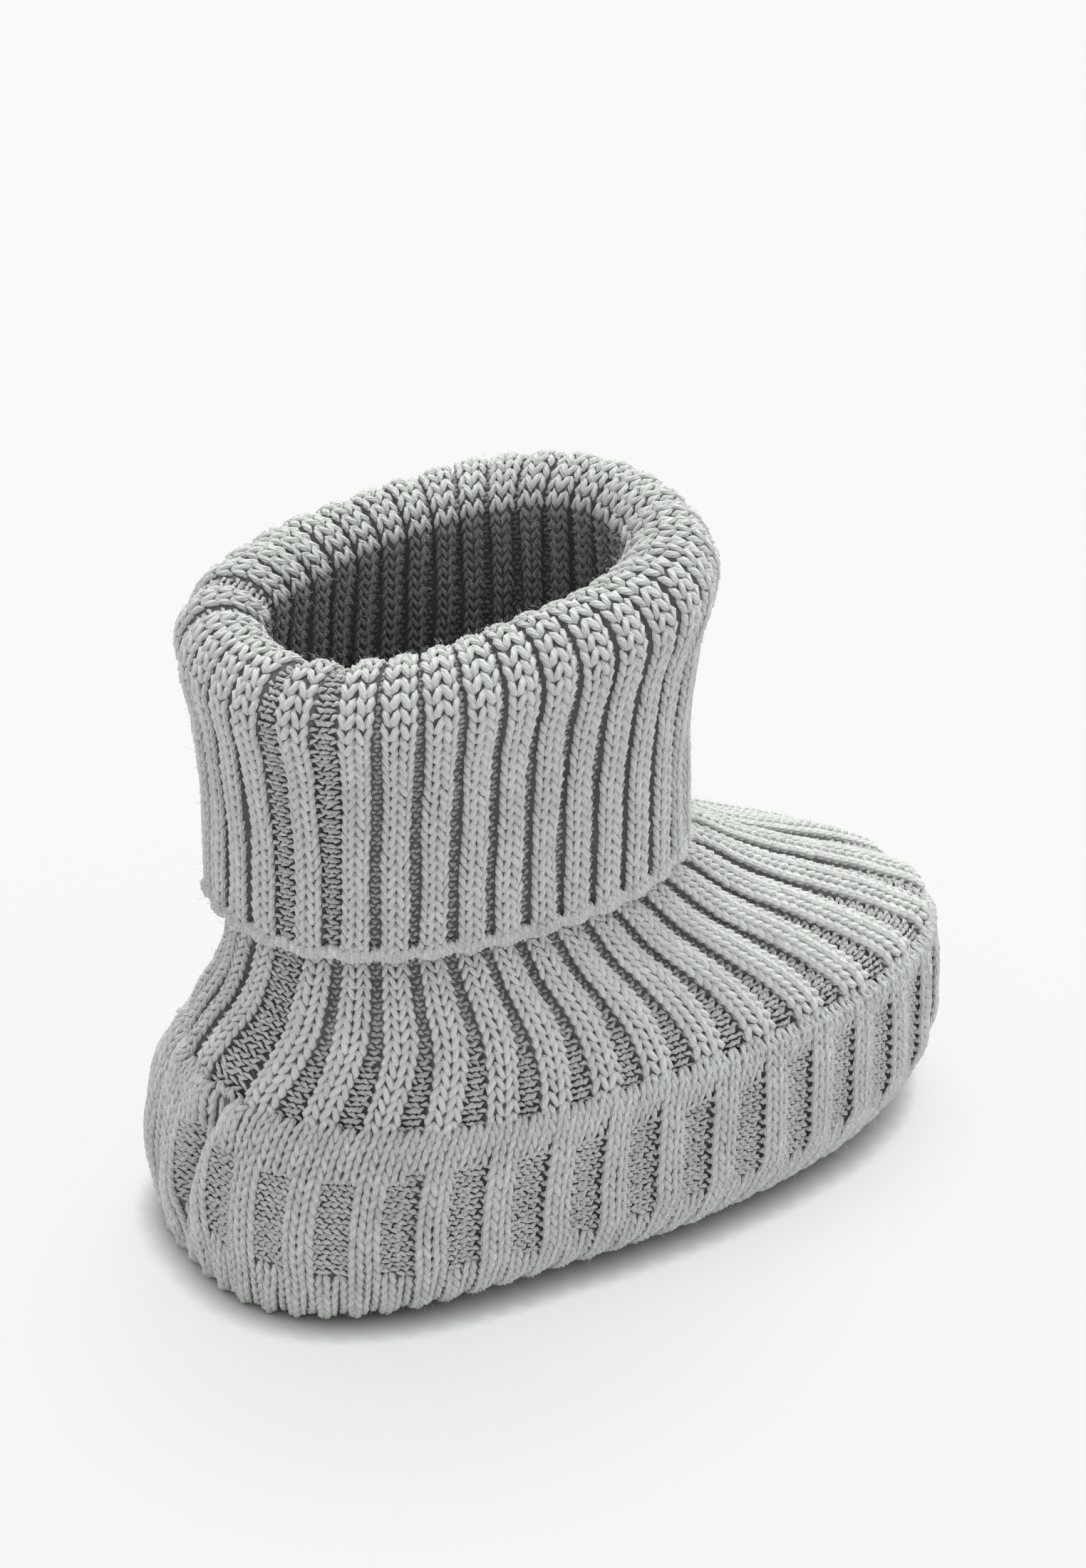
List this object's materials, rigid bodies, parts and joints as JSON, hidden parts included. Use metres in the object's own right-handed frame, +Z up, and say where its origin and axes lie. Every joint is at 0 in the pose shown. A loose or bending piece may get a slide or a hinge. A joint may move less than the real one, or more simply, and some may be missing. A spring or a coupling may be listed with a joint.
{
  "type": "knitted bootie slipper",
  "caption": "Soft knitted bootie slipper for a small child: ribbed foot and shaft, folded-down cuff and a knitted side band over a flat sole.",
  "frame": {"origin": "middle of the outline on the floor, under the part", "axes": "+X from heel to toe, +Z up, +Y to the wearer's left"},
  "size_m": [0.1098, 0.062, 0.0935],
  "materials": {
    "rib_knit": "matt 2x2 rib knit in a plied cotton-like yarn, pale sage grey",
    "band_knit": "matt plain knit with recessed purl windows, the same yarn",
    "insole_fabric": "matt soft brushed fabric, plain"
  },
  "bodies": {
    "root": {"upper": "rib_knit", "sole": "band_knit", "insole": "insole_fabric"}
  },
  "joints": []
}
